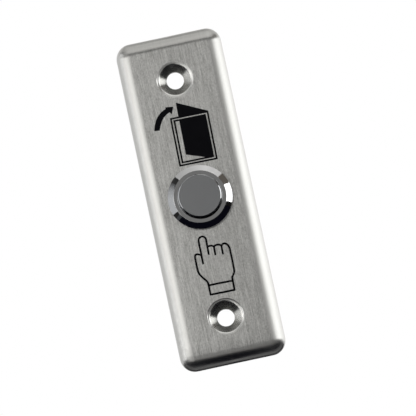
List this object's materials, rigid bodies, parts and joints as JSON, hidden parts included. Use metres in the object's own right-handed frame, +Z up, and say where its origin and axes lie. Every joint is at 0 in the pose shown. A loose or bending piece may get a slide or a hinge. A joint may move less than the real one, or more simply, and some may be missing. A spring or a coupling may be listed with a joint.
{
  "type": "door exit button",
  "caption": "Narrow pressed steel wall plate with rounded rims and countersunk screw holes, carrying a round metal push switch with a polished bezel and screw terminals behind.",
  "frame": {"origin": "in the wall plane, on the switch axis, midway between the two wall screws", "axes": "+X right seen from the front, +Z up the plate, the button faces -Y and the switch goes into the wall along +Y"},
  "size_m": [0.0288, 0.0209, 0.091],
  "materials": {
    "brushed_stainless": "pressed stainless sheet, fine brushing along its length",
    "polished_stainless": "turned and mirror polished on the bezel",
    "satin_stainless": "fine satin, turned cap",
    "nut_plating": "nickel plated, machined flats",
    "black_rubber": "matt moulded rubber",
    "black_nylon": "fine sparked moulding",
    "natural_acetal": "smooth moulding",
    "brass_strip": "rolled brass, lightly dulled",
    "silver_contact": "soft silver sheen",
    "spring_steel": "drawn wire",
    "zinc_plated_steel": "bright zinc plating"
  },
  "bodies": {
    "housing": {"faceplate": "brushed_stainless", "switch_housing": "polished_stainless", "panel_gasket": "black_rubber", "panel_nut": "nut_plating", "return_spring": "spring_steel", "terminal_base": "black_nylon", "terminal_left": "brass_strip", "terminal_right": "brass_strip", "fixed_tip_left": "silver_contact", "fixed_tip_right": "silver_contact", "terminal_screw_left": "zinc_plated_steel", "terminal_screw_right": "zinc_plated_steel", "clamp_washer_left": "zinc_plated_steel", "clamp_washer_right": "zinc_plated_steel"},
    "button": {"button_cap": "satin_stainless", "cap_o_ring": "black_rubber", "plunger": "natural_acetal", "retaining_clip": "spring_steel", "contact_spring": "spring_steel", "bridge_contact": "brass_strip", "bridge_tip_left": "silver_contact", "bridge_tip_right": "silver_contact"}
  },
  "joints": [
    {"name": "button_press", "type": "slide", "parent": "housing", "child": "button", "axis": [0, 1, 0], "range_m": [0, 0.0015], "stiffness_N_per_m": 1500, "springref_m": -0.001, "deforming": ["return_spring"]}
  ]
}
